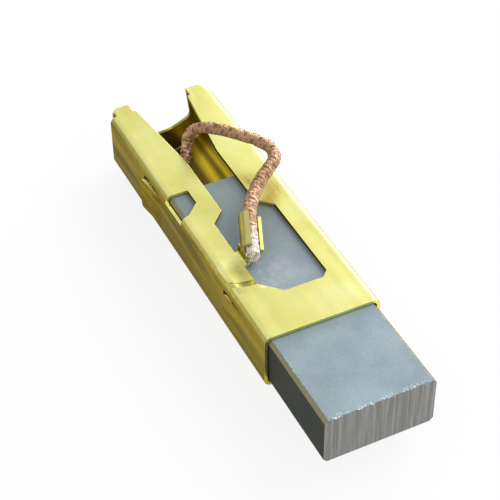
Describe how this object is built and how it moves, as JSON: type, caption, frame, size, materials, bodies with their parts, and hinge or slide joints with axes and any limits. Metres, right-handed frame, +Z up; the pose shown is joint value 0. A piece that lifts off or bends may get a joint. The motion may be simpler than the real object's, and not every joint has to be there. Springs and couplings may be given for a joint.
{
  "type": "carbon brush",
  "caption": "Carbon brush sliding in a folded brass holder, its braided copper shunt looped back and crimped in a tab on the holder.",
  "frame": {"origin": "centre of the holder's flat underside", "axes": "+X along the carbon towards its working end, +Z up through the window that the shunt leaves by"},
  "size_m": [0.055, 0.0144, 0.0137],
  "materials": {
    "brass_sheet": "satin",
    "carbon": "matt",
    "copper_powder": "matt",
    "copper_braid": "satin"
  },
  "bodies": {
    "holder": {"holder": "brass_sheet", "shunt": "copper_braid"},
    "carbon": {"carbon": "carbon", "shunt_plug": "copper_powder"}
  },
  "joints": [
    {"name": "carbon_slide", "type": "slide", "parent": "holder", "child": "carbon", "axis": [1, 0, 0], "range_m": [-0.012, 0.008], "deforming": ["shunt"]}
  ]
}
